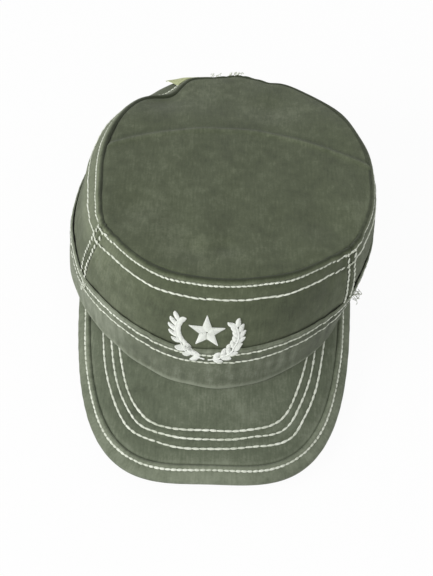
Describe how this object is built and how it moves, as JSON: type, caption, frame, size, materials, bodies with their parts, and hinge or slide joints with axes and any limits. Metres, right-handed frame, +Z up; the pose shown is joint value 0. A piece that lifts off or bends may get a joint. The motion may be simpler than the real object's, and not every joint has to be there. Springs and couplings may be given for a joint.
{
  "type": "cloth field cap",
  "caption": "Flat-topped cloth field cap with an arched bound visor, a folded headband, contrast topstitching and a buckled strap over an arched opening behind.",
  "frame": {"origin": "on the table under the centre of the head opening", "axes": "+Z up, visor towards -Y, +X towards the wearer's left"},
  "size_m": [0.175, 0.2578, 0.0942],
  "materials": {
    "crown_twill": "washed cotton twill, matt, darker than the band",
    "band_twill": "washed cotton twill, worn pale on the folds",
    "visor_twill": "washed cotton twill, matt",
    "cream_thread": "heavy cotton sewing thread, slight sheen",
    "embroidery": "satin-stitched rayon thread",
    "lining": "plain-woven cotton tape",
    "board": "flexible moulded board",
    "woven_label": "blank woven ribbon",
    "size_label": "blank printed-ribbon satin",
    "brass": "antiqued brass, satin"
  },
  "bodies": {
    "cap": {"crown_top": "crown_twill", "front_panel": "crown_twill", "side_panel_left": "crown_twill", "side_panel_right": "crown_twill", "crown_seam_tape": "lining", "front_seam_tape_right": "lining", "front_seam_tape_left": "lining", "back_seam_tape": "lining", "front_interlining": "lining", "headband": "band_twill", "sweatband": "lining", "visor_top_cover": "visor_twill", "visor_board": "board", "visor_under_cover": "visor_twill", "visor_edge_binding": "visor_twill", "emblem": "embroidery", "emblem_backing": "lining", "outside_label": "woven_label", "size_label": "size_label", "crown_stitching": "cream_thread", "front_seam_stitching": "cream_thread", "back_seam_stitching": "cream_thread", "headband_stitching": "cream_thread", "visor_edge_stitching": "cream_thread", "visor_stitching": "cream_thread", "arch_binding": "band_twill", "buckle_frame": "brass", "buckle_pin": "brass", "buckle_loop": "band_twill", "loop_bartacks": "cream_thread"},
    "strap": {"adjuster_strap": "band_twill"},
    "lever": {"buckle_lever": "brass"}
  },
  "joints": [
    {"name": "strap_slide", "type": "hinge", "parent": "cap", "child": "strap", "pos_m": [0, 0.029, 0.014], "axis": [0, 0, 1], "range_deg": [0, 16]},
    {"name": "lever_swing", "type": "hinge", "parent": "cap", "child": "lever", "pos_m": [-0.00538, 0.10269, 0.014], "axis": [0, 0, -1], "range_deg": [0, 105]}
  ]
}
